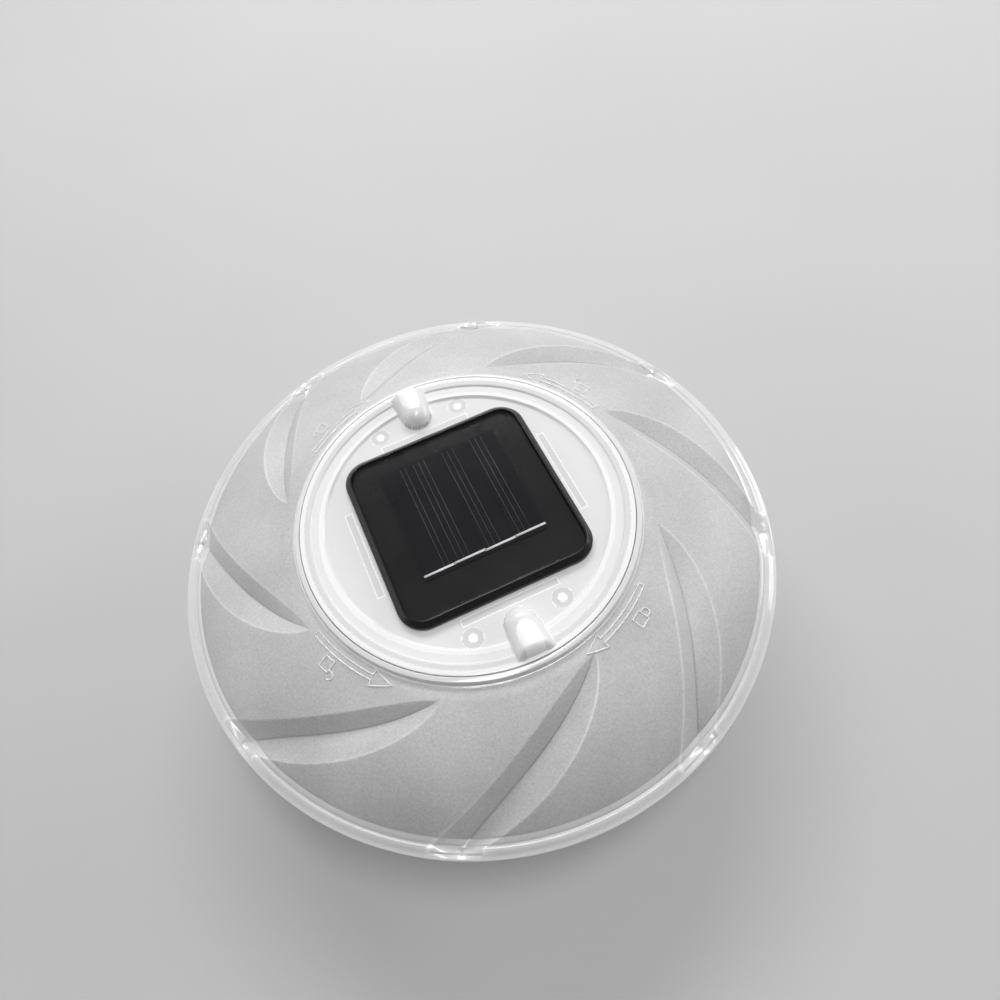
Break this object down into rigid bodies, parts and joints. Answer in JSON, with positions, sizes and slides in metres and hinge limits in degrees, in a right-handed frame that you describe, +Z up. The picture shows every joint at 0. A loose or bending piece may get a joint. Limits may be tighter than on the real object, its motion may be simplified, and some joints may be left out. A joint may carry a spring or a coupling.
{
  "type": "floating pool light",
  "caption": "Round floating pool light: a frosted float with swirl grooves and a twist-lock clear core that holds a square solar panel, lamps, battery and push button.",
  "frame": {"origin": "centre of the flat foot under the lower float shell", "axes": "+Z up through the solar panel, +X and +Y along the panel's sides, thumb grips on +Y and -Y"},
  "size_m": [0.18, 0.18, 0.0632],
  "materials": {
    "frosted_float": "frosted translucent moulding with a polished rim and lip",
    "clear_core": "polished clear moulding",
    "seal_rubber": "translucent white silicone",
    "button_rubber": "soft grey rubber",
    "panel_black": "black moulding with a soft gloss",
    "panel_resin": "clear potting resin, polished",
    "board_black": "black solder mask",
    "silicon": "dark silicon with printed silver fingers",
    "tinned_metal": "bright tin plate",
    "spring_steel": "nickel-plated spring wire",
    "white_plastic": "satin white moulding",
    "board_green": "green solder mask",
    "holder_black": "black moulding",
    "battery_wrap": "green shrink sleeve over the cell can",
    "component_black": "black moulded component bodies",
    "switch_metal": "folded steel switch cover",
    "screw_steel": "zinc-plated steel",
    "led_package": "white lamp package with a yellow lens",
    "wire_red": "red flexible insulation",
    "wire_black": "black flexible insulation"
  },
  "bodies": {
    "float": {"upper_float_shell": "frosted_float", "lower_float_shell": "frosted_float"},
    "core": {"core_cap": "clear_core", "core_cup": "clear_core", "core_o_ring": "seal_rubber", "lock_o_ring": "seal_rubber", "battery_cell": "battery_wrap", "battery_holder": "holder_black", "board_screw_1": "screw_steel", "board_screw_2": "screw_steel", "busbar_ribbon": "tinned_metal", "button_seal": "seal_rubber", "cap_screw_1": "screw_steel", "cap_screw_2": "screw_steel", "cap_screw_3": "screw_steel", "cap_screw_4": "screw_steel", "capacitor": "component_black", "contact_plate": "tinned_metal", "contact_spring": "spring_steel", "controller_ic": "component_black", "inductor": "component_black", "led_1": "led_package", "led_2": "led_package", "led_3": "led_package", "led_4": "led_package", "led_5": "led_package", "led_6": "led_package", "main_board": "board_green", "panel_cover": "panel_resin", "panel_tray": "panel_black", "reflector_plate": "white_plastic", "resistor_1": "component_black", "resistor_2": "component_black", "solar_backboard": "board_black", "solar_cell_1": "silicon", "solar_cell_2": "silicon", "solar_cell_3": "silicon", "solar_cell_4": "silicon", "solar_wire_black": "wire_black", "solar_wire_red": "wire_red", "tact_switch": "switch_metal"},
    "button": {"power_button": "button_rubber"}
  },
  "joints": [
    {"name": "core_twist", "type": "hinge", "parent": "float", "child": "core", "pos_m": [0, 0, 0.0546], "axis": [0, 0, 1], "range_deg": [0, 30]},
    {"name": "power_button_press", "type": "slide", "parent": "core", "child": "button", "axis": [0, 0, 1], "range_m": [0, 0.0008], "stiffness_N_per_m": 1500, "springref_m": -0.0004}
  ]
}
